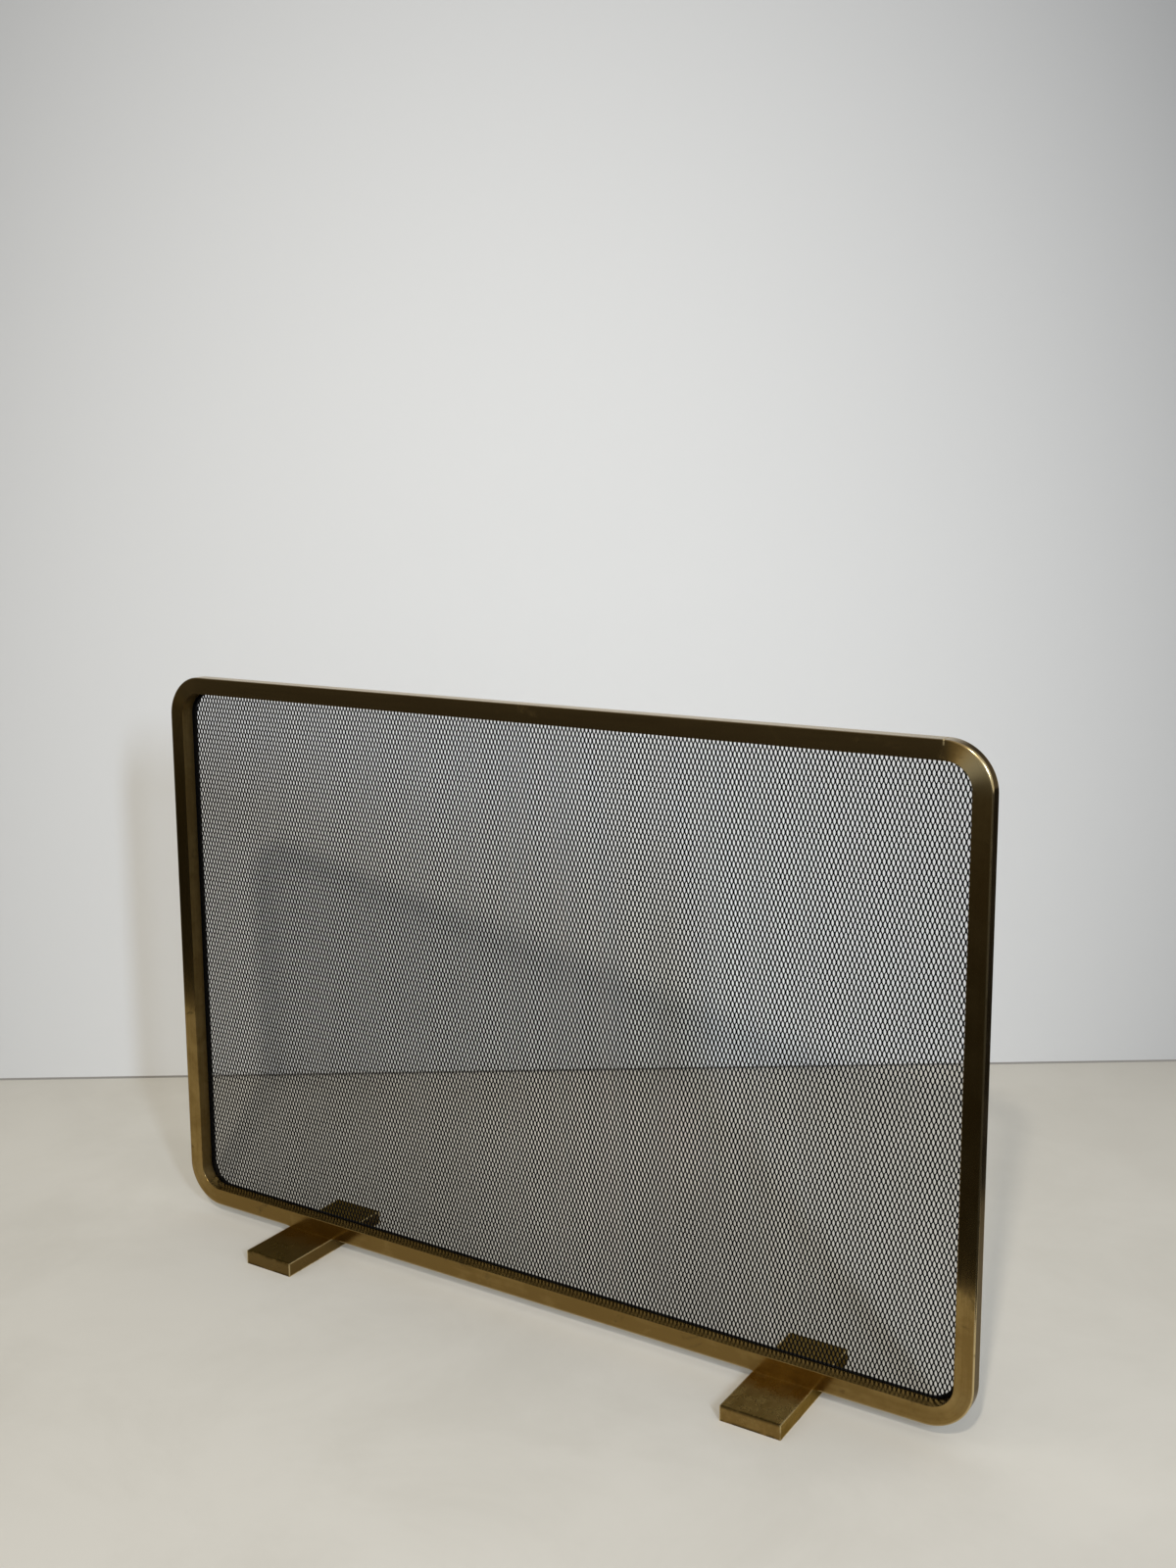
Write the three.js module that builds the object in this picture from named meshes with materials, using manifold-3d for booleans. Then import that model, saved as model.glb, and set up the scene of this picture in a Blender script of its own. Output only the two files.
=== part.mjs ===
// A free-standing fireplace screen: a rounded rectangle of brass bar, a panel of black expanded
// metal clamped to its back by flat steel strips, and two flat brass feet.
//
// Millimetres. +X runs to the right along the screen, +Y from its front to its back, +Z up.
// The origin is on the floor, under the middle of the frame.

import * as THREE from 'three';
import { mergeVertices } from 'three/addons/utils/BufferGeometryUtils.js';
import Module from 'manifold-3d';

// ---- Driving dimensions ----

// Frame of brass bar
const FRAME_WIDTH = 772;
const FRAME_HEIGHT = 500;
const BAR_FACE = 15; // the bar's width, seen from the front
const BAR_DEPTH = 12; // the bar, from front to back
const CORNER_OUTER_RADIUS = 36;
const CORNER_INNER_RADIUS = 20;

// Feet
const FOOT_WIDTH = 50;
const FOOT_LENGTH = 120;
const FOOT_THICKNESS = 12;
const FOOT_INSET = 149; // from the frame's end to the middle of a foot

// Mesh panel and the strips that clamp it to the back of the frame
const MESH_THICKNESS = 0.8;
const MESH_MARGIN = 1; // the strips reach this far past the edge of the mesh
const STRIP_WIDTH = 13;
const STRIP_THICKNESS = 2;
const SIDE_LIP = 3; // how far a side strip shows inside the frame's opening
const END_LIP = 0.5; // the same for the top and bottom strips
const MITRE_GAP = 0.3;

// Button-head screws that hold the strips
const STRIP_SCREW_RADIUS = 1.5;
const STRIP_SCREW_REACH = 5; // into the brass
const STRIP_SCREW_HEAD_RADIUS = 2.8;
const STRIP_SCREW_HEAD_HEIGHT = 1.7;
const STRIP_SCREW_HEAD_RIM = 0.4; // the upright part of the head, below its dome
const STRIP_SCREW_END_MARGIN = 26; // from the end of the straight bar to the first screw
const SCREWS_ALONG_TOP = 5;
const SCREWS_UP_SIDE = 3;

// Countersunk screws that hold the feet
const FOOT_SCREW_RADIUS = 2.5;
const FOOT_SCREW_REACH = 8; // into the bottom rail
const FOOT_SCREW_HEAD_RADIUS = 4.6;
const FOOT_SCREW_HEAD_RIM = 0.4;
const FOOT_SCREW_SPACING = 27; // between the two screws of a foot
const FOOT_SCREW_RECESS = 0.3; // from the floor up to the head
const FOOT_BORE_OVERCUT = 1; // how far the hole's cutter starts below the floor

// Shared by all screws
const SCREW_CLEARANCE = 0.3;
const SCREW_POINT_CHAMFER = 0.5;
const HOLE_RUNOUT = 0.5; // how much deeper a blind hole is than its screw
const SOCKET_RADIUS_RATIO = 0.6; // hexagonal socket, against the screw's own radius
const SOCKET_DEPTH_RATIO = 0.8;

// Fineness of the facets
const ARC_STEPS = 12;
const SCREW_SIDES = 12;
const DOME_STEPS = 4;

// ---- Values that follow ----

const halfWidth = FRAME_WIDTH / 2;
const halfHeight = FRAME_HEIGHT / 2;
const cornerLeg = Math.max(CORNER_OUTER_RADIUS, BAR_FACE + CORNER_INNER_RADIUS);
const railLength = FRAME_WIDTH - 2 * cornerLeg;
const stileLength = FRAME_HEIGHT - 2 * cornerLeg;

const frameBack = BAR_DEPTH / 2;
const meshBack = frameBack + MESH_THICKNESS;
const stripBack = meshBack + STRIP_THICKNESS;

// How far the strips' outer edges lie inside the frame's outer edges.
const sideInset = BAR_FACE + SIDE_LIP - STRIP_WIDTH;
const endInset = BAR_FACE + END_LIP - STRIP_WIDTH;
const stripOuterRadius = CORNER_OUTER_RADIUS - Math.max(sideInset, endInset);

// Screw lines, in the middle of the strips' overlap with the brass, from the frame's outer edges.
const sideScrewInset = (sideInset + BAR_FACE) / 2;
const endScrewInset = (endInset + BAR_FACE) / 2;

const wasm = await Module();
wasm.setup();

// ---- Materials ----

const brass = new THREE.MeshStandardMaterial({ color: 0x8c7040, roughness: 0.35, metalness: 1 });
const footBrass = new THREE.MeshStandardMaterial({ color: 0x86693c, roughness: 0.4, metalness: 1 });
const blackSteel = new THREE.MeshStandardMaterial({ color: 0x0b0b0c, roughness: 0.6, metalness: 0.2 });
const blackMesh = new THREE.MeshStandardMaterial({ color: 0x08080a, roughness: 0.55, metalness: 0.2 });
const screwSteel = new THREE.MeshStandardMaterial({ color: 0x1a1a1c, roughness: 0.45, metalness: 0.8 });
const screwBrass = new THREE.MeshStandardMaterial({ color: 0x9a7c48, roughness: 0.35, metalness: 1 });

// ---- Solids ----

function toSolid(geometry) {
  const bare = geometry.clone();
  bare.deleteAttribute('normal');
  bare.deleteAttribute('uv');
  const merged = mergeVertices(bare, 1e-4);
  return new wasm.Manifold(
    new wasm.Mesh({
      numProp: 3,
      vertProperties: new Float32Array(merged.attributes.position.array),
      triVerts: new Uint32Array(merged.index.array),
    }),
  );
}

function toGeometry(solid) {
  const { vertProperties, triVerts } = solid.getMesh();
  const geometry = new THREE.BufferGeometry();
  geometry.setAttribute('position', new THREE.BufferAttribute(vertProperties, 3));
  geometry.setIndex(new THREE.BufferAttribute(triVerts, 1));
  geometry.computeVertexNormals();
  return geometry;
}

function cutAway(geometry, cutters) {
  const left = cutters.reduce((solid, cutter) => solid.subtract(toSolid(cutter)), toSolid(geometry));
  return toGeometry(left);
}

// A plate whose outline is drawn as seen from the front, with its front face at y = front.
function plate(shape, front, depth) {
  const geometry = new THREE.ExtrudeGeometry(shape, {
    depth,
    bevelEnabled: false,
    curveSegments: ARC_STEPS,
  });
  geometry.rotateX(Math.PI / 2);
  geometry.translate(0, front + depth, 0);
  return geometry;
}

// A round cutter along Y.
function boreAlongY(radius, x, z, front, back) {
  const cutter = new THREE.CylinderGeometry(radius, radius, back - front, SCREW_SIDES);
  cutter.translate(x, (front + back) / 2, z);
  return cutter;
}

// A body of revolution about Z, from points of [radius, height].
function turnedAboutZ(points) {
  const profile = points.map(([radius, height]) => new THREE.Vector2(radius, height));
  const geometry = new THREE.LatheGeometry(profile, SCREW_SIDES);
  geometry.rotateX(Math.PI / 2);
  return geometry;
}

function evenPlaces(count, span) {
  return Array.from({ length: count }, (_, i) => (count > 1 ? (i / (count - 1) - 0.5) * span : 0));
}

function named(name, geometry, material) {
  const mesh = new THREE.Mesh(geometry, material);
  mesh.name = name;
  return mesh;
}

// ---- Outlines, in the plane of the screen and centred on it ----

function roundedRectangle(halfX, halfZ, radius) {
  const shape = new THREE.Shape();
  const x = halfX - radius;
  const z = halfZ - radius;
  shape.absarc(x, z, radius, 0, Math.PI / 2, false);
  shape.absarc(-x, z, radius, Math.PI / 2, Math.PI, false);
  shape.absarc(-x, -z, radius, Math.PI, 1.5 * Math.PI, false);
  shape.absarc(x, -z, radius, 1.5 * Math.PI, 2 * Math.PI, false);
  shape.closePath();
  return shape;
}

// The top right corner of the frame, with its legs' ends on the axes: one faces down, one left.
function cornerShape() {
  const shape = new THREE.Shape();
  const outer = cornerLeg - CORNER_OUTER_RADIUS;
  const inner = cornerLeg - BAR_FACE - CORNER_INNER_RADIUS;
  shape.moveTo(cornerLeg, 0);
  shape.absarc(outer, outer, CORNER_OUTER_RADIUS, 0, Math.PI / 2, false);
  shape.lineTo(0, cornerLeg);
  shape.lineTo(0, cornerLeg - BAR_FACE);
  shape.absarc(inner, inner, CORNER_INNER_RADIUS, Math.PI / 2, 0, true);
  shape.lineTo(cornerLeg - BAR_FACE, 0);
  shape.closePath();
  return shape;
}

// The bottom side of a ring of flat strip with round corners, cut at 45 degrees through its corners.
// halfLength and edge are the ring's outer half sizes along this side and across it.
function mitredStripShape(halfLength, edge) {
  const outerX = halfLength - stripOuterRadius;
  const outerZ = -(edge - stripOuterRadius);
  const innerX = halfLength - STRIP_WIDTH - CORNER_INNER_RADIUS;
  const innerZ = -(edge - STRIP_WIDTH - CORNER_INNER_RADIUS);
  const down = 1.5 * Math.PI;
  const outerTurn = Math.PI / 4 - MITRE_GAP / 2 / stripOuterRadius;
  const innerTurn = Math.PI / 4 - MITRE_GAP / 2 / CORNER_INNER_RADIUS;
  const shape = new THREE.Shape();
  shape.absarc(-outerX, outerZ, stripOuterRadius, down - outerTurn, down, false);
  shape.absarc(outerX, outerZ, stripOuterRadius, down, down + outerTurn, false);
  shape.absarc(innerX, innerZ, CORNER_INNER_RADIUS, down + innerTurn, down, true);
  shape.absarc(-innerX, innerZ, CORNER_INNER_RADIUS, down, down - innerTurn, true);
  shape.closePath();
  return shape;
}

// ---- Screws ----

// Axis along Y, head to the back, with the underside of the head at y = 0.
function stripScrewGeometry() {
  const length = STRIP_SCREW_REACH + MESH_THICKNESS + STRIP_THICKNESS;
  const r = STRIP_SCREW_RADIUS;
  const head = STRIP_SCREW_HEAD_RADIUS;
  const top = STRIP_SCREW_HEAD_HEIGHT;
  const dome = Array.from({ length: DOME_STEPS + 1 }, (_, i) => {
    const angle = (i / DOME_STEPS) * (Math.PI / 2);
    const rise = (top - STRIP_SCREW_HEAD_RIM) * Math.sin(angle);
    return [i < DOME_STEPS ? head * Math.cos(angle) : 0, STRIP_SCREW_HEAD_RIM + rise];
  });
  const profile = [
    [0, -length],
    [r - SCREW_POINT_CHAMFER, -length],
    [r, -length + SCREW_POINT_CHAMFER],
    [r, 0],
    [head, 0],
    ...dome,
  ];
  const turned = new THREE.LatheGeometry(
    profile.map(([radius, height]) => new THREE.Vector2(radius, height)),
    SCREW_SIDES,
  );
  const socketDepth = SOCKET_DEPTH_RATIO * r;
  const socketRadius = SOCKET_RADIUS_RATIO * r;
  const socket = new THREE.CylinderGeometry(socketRadius, socketRadius, 2 * socketDepth, 6);
  socket.translate(0, top, 0);
  return cutAway(turned, [socket]);
}

// The countersunk screw's outline, grown by a clearance to make the hole for it. Its head is down.
function footScrewProfile(clearance, low, high, chamfer) {
  const neck = FOOT_SCREW_RADIUS + clearance;
  const head = FOOT_SCREW_HEAD_RADIUS + clearance;
  const rimTop = FOOT_SCREW_RECESS + FOOT_SCREW_HEAD_RIM;
  return [
    [0, low],
    [head, low],
    [head, rimTop],
    [neck, rimTop + head - neck],
    [neck, high - chamfer],
    [neck - chamfer, high],
    [0, high],
  ];
}

const footScrewTop = FOOT_THICKNESS + FOOT_SCREW_REACH;

function footScrewGeometry() {
  const profile = footScrewProfile(0, FOOT_SCREW_RECESS, footScrewTop, SCREW_POINT_CHAMFER);
  const socketRadius = SOCKET_RADIUS_RATIO * FOOT_SCREW_RADIUS;
  const socketDepth = SOCKET_DEPTH_RATIO * FOOT_SCREW_RADIUS;
  const socket = new THREE.CylinderGeometry(socketRadius, socketRadius, 2 * socketDepth, 6);
  socket.rotateX(Math.PI / 2);
  socket.translate(0, 0, FOOT_SCREW_RECESS);
  return cutAway(turnedAboutZ(profile), [socket]);
}

// The hole for one foot screw, through the foot and on into the bottom rail.
function footScrewBore(x) {
  const top = footScrewTop + HOLE_RUNOUT;
  const profile = footScrewProfile(SCREW_CLEARANCE, -FOOT_BORE_OVERCUT, top, SCREW_POINT_CHAMFER);
  const bore = turnedAboutZ(profile);
  bore.translate(x, 0, 0);
  return bore;
}

// ---- Where things go ----

const footPlaces = [
  ['left', FOOT_INSET - halfWidth],
  ['right', halfWidth - FOOT_INSET],
];
const footScrewOffsets = [-FOOT_SCREW_SPACING / 2, FOOT_SCREW_SPACING / 2];

const railScrewXs = evenPlaces(SCREWS_ALONG_TOP, railLength - 2 * STRIP_SCREW_END_MARGIN);
const stileScrewZs = evenPlaces(SCREWS_UP_SIDE, stileLength - 2 * STRIP_SCREW_END_MARGIN);
const railScrewZ = halfHeight - endScrewInset;
const stileScrewX = halfWidth - sideScrewInset;

// [x, z] of each strip screw on each side, from the middle of the frame.
const stripScrews = {
  top: railScrewXs.map((x) => [x, railScrewZ]),
  bottom: railScrewXs.map((x) => [x, -railScrewZ]),
  left: stileScrewZs.map((z) => [-stileScrewX, z]),
  right: stileScrewZs.map((z) => [stileScrewX, z]),
};

function stripScrewBores(side, front, back) {
  const radius = STRIP_SCREW_RADIUS + SCREW_CLEARANCE;
  return stripScrews[side].map(([x, z]) => boreAlongY(radius, x, z, front, back));
}

// ---- Pieces of the frame: everything here is measured from the middle of the frame ----

const frameCentreHeight = FOOT_THICKNESS + halfHeight;

function addFrameBars(group) {
  const blindFront = frameBack - STRIP_SCREW_REACH - HOLE_RUNOUT;
  const railZ = halfHeight - BAR_FACE / 2;
  const stileX = halfWidth - BAR_FACE / 2;
  const footBores = footPlaces.flatMap(([, footX]) =>
    footScrewOffsets.map((offset) => footScrewBore(footX + offset).translate(0, 0, -frameCentreHeight)),
  );
  const bars = [
    ['top_rail', 'top', railLength, BAR_FACE, 0, railZ, []],
    ['bottom_rail', 'bottom', railLength, BAR_FACE, 0, -railZ, footBores],
    ['left_stile', 'left', BAR_FACE, stileLength, -stileX, 0, []],
    ['right_stile', 'right', BAR_FACE, stileLength, stileX, 0, []],
  ];
  for (const [name, side, sizeX, sizeZ, x, z, extraBores] of bars) {
    const bar = new THREE.BoxGeometry(sizeX, BAR_DEPTH, sizeZ);
    bar.translate(x, 0, z);
    const bores = stripScrewBores(side, blindFront, frameBack + 1);
    group.add(named(name, cutAway(bar, [...bores, ...extraBores]), brass));
  }
}

function addFrameCorners(group) {
  const x = halfWidth - cornerLeg;
  const z = halfHeight - cornerLeg;
  const corners = [
    ['corner_top_right', x, z, 0],
    ['corner_bottom_right', x, -z, 1],
    ['corner_bottom_left', -x, -z, 2],
    ['corner_top_left', -x, z, 3],
  ];
  for (const [name, cornerX, cornerZ, quarterTurns] of corners) {
    const bend = named(name, plate(cornerShape(), -BAR_DEPTH / 2, BAR_DEPTH), brass);
    bend.position.set(cornerX, 0, cornerZ);
    bend.rotation.y = (quarterTurns * Math.PI) / 2;
    group.add(bend);
  }
}

function addMeshPanel(group) {
  const panel = plate(
    roundedRectangle(
      halfWidth - sideInset - MESH_MARGIN,
      halfHeight - endInset - MESH_MARGIN,
      stripOuterRadius - MESH_MARGIN,
    ),
    frameBack,
    MESH_THICKNESS,
  );
  const bores = Object.keys(stripScrews).flatMap((side) =>
    stripScrewBores(side, frameBack - 1, meshBack + 1),
  );
  group.add(named('mesh_panel', cutAway(panel, bores), blackMesh));
}

// Each strip is drawn as the bottom one and turned into its place.
function addStrips(group) {
  const across = halfWidth - sideInset;
  const up = halfHeight - endInset;
  const strips = [
    ['bottom', across, up, 0],
    ['left', up, across, 1],
    ['top', across, up, 2],
    ['right', up, across, 3],
  ];
  for (const [side, halfLength, edge, quarterTurns] of strips) {
    const strip = plate(mitredStripShape(halfLength, edge), meshBack, STRIP_THICKNESS);
    strip.rotateY((quarterTurns * Math.PI) / 2);
    const bores = stripScrewBores(side, meshBack - 1, stripBack + 1);
    group.add(named(`retainer_${side}`, cutAway(strip, bores), blackSteel));
  }
}

function addStripScrews(group) {
  for (const [side, places] of Object.entries(stripScrews)) {
    places.forEach(([x, z], i) => {
      const screw = named(`retainer_screw_${side}_${i + 1}`, stripScrewGeometry(), screwSteel);
      screw.position.set(x, stripBack, z);
      group.add(screw);
    });
  }
}

// ---- Feet, measured from the floor ----

function addFeet(group) {
  for (const [side, footX] of footPlaces) {
    const foot = new THREE.BoxGeometry(FOOT_WIDTH, FOOT_LENGTH, FOOT_THICKNESS);
    foot.translate(footX, 0, FOOT_THICKNESS / 2);
    const bores = footScrewOffsets.map((offset) => footScrewBore(footX + offset));
    group.add(named(`foot_${side}`, cutAway(foot, bores), footBrass));
    footScrewOffsets.forEach((offset, i) => {
      const screw = named(`foot_screw_${side}_${i + 1}`, footScrewGeometry(), screwBrass);
      screw.position.set(footX + offset, 0, 0);
      group.add(screw);
    });
  }
}

// ---- The whole screen ----

const frame = new THREE.Group();
frame.position.z = frameCentreHeight;
addFrameBars(frame);
addFrameCorners(frame);
addMeshPanel(frame);
addStrips(frame);
addStripScrews(frame);

const screen = new THREE.Group();
screen.add(frame);
addFeet(screen);

export default screen;
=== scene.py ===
"""A free-standing fireplace screen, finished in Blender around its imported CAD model.

Metres, in the CAD model's frame: +X to the right along the screen, +Y from its front to its back,
+Z up, with the origin on the floor under the middle of the frame.
"""

import math
from typing import NamedTuple

import bpy
import numpy as np
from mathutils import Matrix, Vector


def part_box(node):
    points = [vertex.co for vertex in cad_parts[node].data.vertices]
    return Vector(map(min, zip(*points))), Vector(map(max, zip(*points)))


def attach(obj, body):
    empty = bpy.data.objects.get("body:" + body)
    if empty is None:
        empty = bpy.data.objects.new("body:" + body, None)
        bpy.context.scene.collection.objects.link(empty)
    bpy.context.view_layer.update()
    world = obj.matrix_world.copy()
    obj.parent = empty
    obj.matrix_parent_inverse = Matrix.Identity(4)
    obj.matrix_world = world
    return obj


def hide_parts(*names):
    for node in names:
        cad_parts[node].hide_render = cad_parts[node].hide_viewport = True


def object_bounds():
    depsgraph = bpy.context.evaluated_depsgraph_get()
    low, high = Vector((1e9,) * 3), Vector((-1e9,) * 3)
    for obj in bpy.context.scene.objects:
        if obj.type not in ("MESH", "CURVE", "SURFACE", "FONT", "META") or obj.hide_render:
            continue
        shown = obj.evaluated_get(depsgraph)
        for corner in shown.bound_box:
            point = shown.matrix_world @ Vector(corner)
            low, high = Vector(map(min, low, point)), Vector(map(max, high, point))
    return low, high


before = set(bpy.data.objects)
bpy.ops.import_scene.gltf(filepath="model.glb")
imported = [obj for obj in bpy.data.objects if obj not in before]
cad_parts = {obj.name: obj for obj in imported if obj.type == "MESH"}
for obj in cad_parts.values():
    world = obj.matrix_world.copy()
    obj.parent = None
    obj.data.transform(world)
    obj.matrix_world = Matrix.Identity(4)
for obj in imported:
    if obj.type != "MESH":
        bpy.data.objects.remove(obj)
cad_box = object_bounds()

MM = 0.001

# ---- Sizes that the CAD model's boxes don't give ----

CORNER_OUTER_RADIUS = 36 * MM
CORNER_INNER_RADIUS = 20 * MM
INNER_EDGE_RADIUS = 0.5 * MM
BAR_EDGE_STEPS = 6
BEND_STEPS = 36
WEAR_REACH = 0.6 * MM  # how far the wear on a bar's edge runs onto the flats beside it
FLAT_WEAR = 0.6  # the wear where the edge's round meets a flat, against 1 on the round
SEAM = 0.02 * MM  # the chamfer on the bars' ends, too small to show

# Each bar has its own rounding and wear of its outer edges, and its own tone. The tone of the brass runs
# from -1.4, stained dark, by -0.6, all brown, to 1, pale and dull. The top rail's dark tone is painted
# shade for the dark room its front mirrors, and the bottom rail's is painted shade for the shaded floor
# under it.
BAR_EDGE = {"left_stile": 1.2 * MM, "top_rail": 0.9 * MM, "right_stile": 0.9 * MM, "bottom_rail": 1.2 * MM}
# The right stile's full wear is partly a painted highlight along its outer front edge
BAR_WEAR = {"left_stile": 0.3, "top_rail": 0.0, "right_stile": 1.0, "bottom_rail": 0.6}
BAR_TONE = {"left_stile": 0.0, "top_rail": -1.4, "right_stile": 0.0, "bottom_rail": -0.6}

# A bend's face is dressed after bending, so it falls back a little towards its outer edge. The top right
# bend is dressed most: its edge is rounder and its brass is paler, which also paints in the bright sheen on
# its face. The top left bend's dark tone is painted shade. These add to what the bars have.
BEND_FALL = {"top_left": 0.3 * MM, "top_right": 1.2 * MM, "bottom_right": 0.4 * MM, "bottom_left": 0.3 * MM}
BEND_EDGE = {"top_left": 0.0, "top_right": 1.2 * MM, "bottom_right": 0.0, "bottom_left": 0.0}
BEND_TONE = {"top_left": -0.5, "top_right": 1.7, "bottom_right": 0.3, "bottom_left": 0.3}
DRESSED_REACH = 28 * MM  # from the middle of a bend to where the dressing ends on the straight bar
DRESSED_STEPS = 4

FOOT_EDGE_RADIUS = 1.3 * MM
FOOT_WEAR_REACH = 1.4 * MM
FOOT_JOINT_EDGE_RADIUS = 0.12 * MM  # on the bottom rail where it stands on a foot
FOOT_JOINT_RUNOUT = 4 * MM
STRIP_EDGE_RADIUS = 0.35 * MM
SOFT_EDGE_SEGMENTS = 3

MESH_ACROSS = 3.50 * MM  # from one opening to the next at the same height
MESH_UP = 8.29 * MM  # from one opening to the next above it
OPENING_TOP = (0.265 * MM, 2.42 * MM)  # the corner at its upper right end, from its middle
OPENING_SIDE = (1.055 * MM, 0.785 * MM)  # the corner at the upper end of its right side
STRAND_THICKNESS = 0.6 * MM
MESH_PIECES = 5

# The mark of the braze between the top rail and its right bend, on the front by the upper edge
NICK_HALF_WIDTH = 0.6 * MM
NICK_BLUR = 0.3 * MM
NICK_LENGTH = 4.25 * MM
NICK_END_BLUR = 0.75 * MM

STRIP_SCREW_RADIUS = 1.5 * MM
STRIP_SCREW_HEAD_HEIGHT = 1.7 * MM
STRIP_SCREW_HEAD_RIM = 0.4 * MM
STRIP_SCREW_SOCKET = 0.9 * MM
FOOT_SCREW_RADIUS = 2.5 * MM
FOOT_SCREW_HEAD_RIM = 0.4 * MM
FOOT_SCREW_SOCKET = 1.5 * MM
SOCKET_DEPTH = 1.0 * MM
SOCKET_MARGIN = 1.3  # the flat round a socket, against the socket's radius
SCREW_SIDES = 36
DOME_STEPS = 6
SCREW_TURN = 0.7  # radians from one screw's socket to the next one's

# ---- Colours ----

BRASS_BRIGHT = (0.36, 0.245, 0.090)
BRASS_AGED = (0.235, 0.150, 0.048)
BRASS_STAIN = (0.125, 0.084, 0.033)
# Pale, dull brass; on the top right bend it is partly a painted sheen
BRASS_PALE_AND_SHEEN = (0.38, 0.315, 0.175)
# Worn brass; on the edges it is partly painted highlight
BRASS_WORN_AND_HIGHLIGHT = (0.72, 0.58, 0.32)
# Painted shade on the outer side faces, and lower down a lighter painted reflection of the pale floor
BRASS_SIDE_PAINTED_SHADE = (0.075, 0.056, 0.034)
BRASS_SIDE_LOW_PAINTED_REFLECTION = (0.16, 0.135, 0.095)
# A painted pale sheen on the top faces
BRASS_TOP_PAINTED_SHEEN = (0.98, 0.93, 0.82)
# Soot and dirt; also the painted shadow on the feet's backs and the darkening of the frame's inner faces
BRASS_SOOT_AND_SHADE = (0.07, 0.045, 0.015)
FLOOR_COLOUR = (0.69, 0.665, 0.60)
FLOOR_MARK = (0.635, 0.61, 0.545)
# Painted fall-off of light: the floor darkens to this away from its middle
FLOOR_PAINTED_SHADE = (0.50, 0.48, 0.435)
WALL_COLOUR = (0.80, 0.805, 0.80)
# Painted fall-off of light: the wall darkens to this away from its brightest place
WALL_PAINTED_SHADE = (0.32, 0.325, 0.33)
JOINT_COLOUR = (0.30, 0.29, 0.27)
DARK_COLOUR = (0.035, 0.034, 0.032)
DARK_FAR_COLOUR = (0.115, 0.112, 0.105)
BLACK_PAINT = (0.002, 0.002, 0.0022)
STEEL_DARK = (0.02, 0.02, 0.021)
STEEL_LIGHT = (0.05, 0.05, 0.052)

# ---- The stage ----

WALL_NORMAL = Vector((0.549, -0.836, 0))  # out of the wall, into the room
WALL_DISTANCE = 0.555
WALL_RIGHT = 1.1  # from the place nearest the screen to the wall's right end
STAGE_REACH = 5.0
STAGE_HEIGHT = 3.0
# The middles and rates of the wall's and the floor's painted fall-off of light
WALL_MIDDLE = Vector((-0.305, 0.464, 0.07))  # where the wall is brightest
WALL_FADE = (1, 1, 0.62)  # how fast it fades each way
FLOOR_MIDDLE = Vector((-0.1, 0.1, 0))
FLOOR_FADE = (1, 1, 1)
JOINT_HEIGHT = 2.5 * MM  # the dark line where the wall meets the floor
JOINT_LIFT = 0.5 * MM
DARK_FLOOR_LIFT = 1 * MM
DARK_MIDDLE = Vector((0, -0.6, 0))
DARK_FADE = (0, 0.5, 0)

# Past the pale floor the brass mirrors a dark one. Their edge runs from the left of the front to the
# right of the back, and the dark floor then has three far corners.
PALE_FLOOR_EDGE = [
    (-6, -1.4),
    (0.305, -0.225),
    (0.45, -0.185),
    (0.60, -0.05),
    (0.57, 0.3),
    (0.50, 0.45),
    (0.62, 1),
    (1.1, 5),
]
DARK_FLOOR_CORNERS = [(6, 5), (6, -6), (-6, -6)]

# ---- Sizes from the CAD model ----

rail_low, rail_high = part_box("top_rail")
BAR_FACE = rail_high.z - rail_low.z
BAR_DEPTH = rail_high.y - rail_low.y
HALF_BEND = math.pi / 4 * (CORNER_OUTER_RADIUS - BAR_FACE / 2)  # along the middle of the bar's face


# ---- Mesh helpers ----


def new_object(name, mesh, material):
    obj = bpy.data.objects.new(name, mesh)
    bpy.context.scene.collection.objects.link(obj)
    mesh.materials.append(material)
    return obj


class SectionPoint(NamedTuple):
    """A point on a bar's outline: across from its inner face and back from its middle plane."""

    across: float
    back: float
    normal_across: float
    normal_back: float
    wear: float


class Station(NamedTuple):
    """Where a bar's section stands, and its size and finish there.

    place is on the inner face and in the middle plane. outward and inward point out of the outer and the
    inner face. run is how far along the frame the station is. edge is the radius of the outer edges, and
    fall is how far the front falls back from the inner to the outer side. tone is as for the bars, and
    wear is from 0 to 1.
    """

    place: Vector
    outward: Vector
    inward: Vector
    width: float
    run: float
    edge: float
    fall: float
    tone: float
    wear: float


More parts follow.
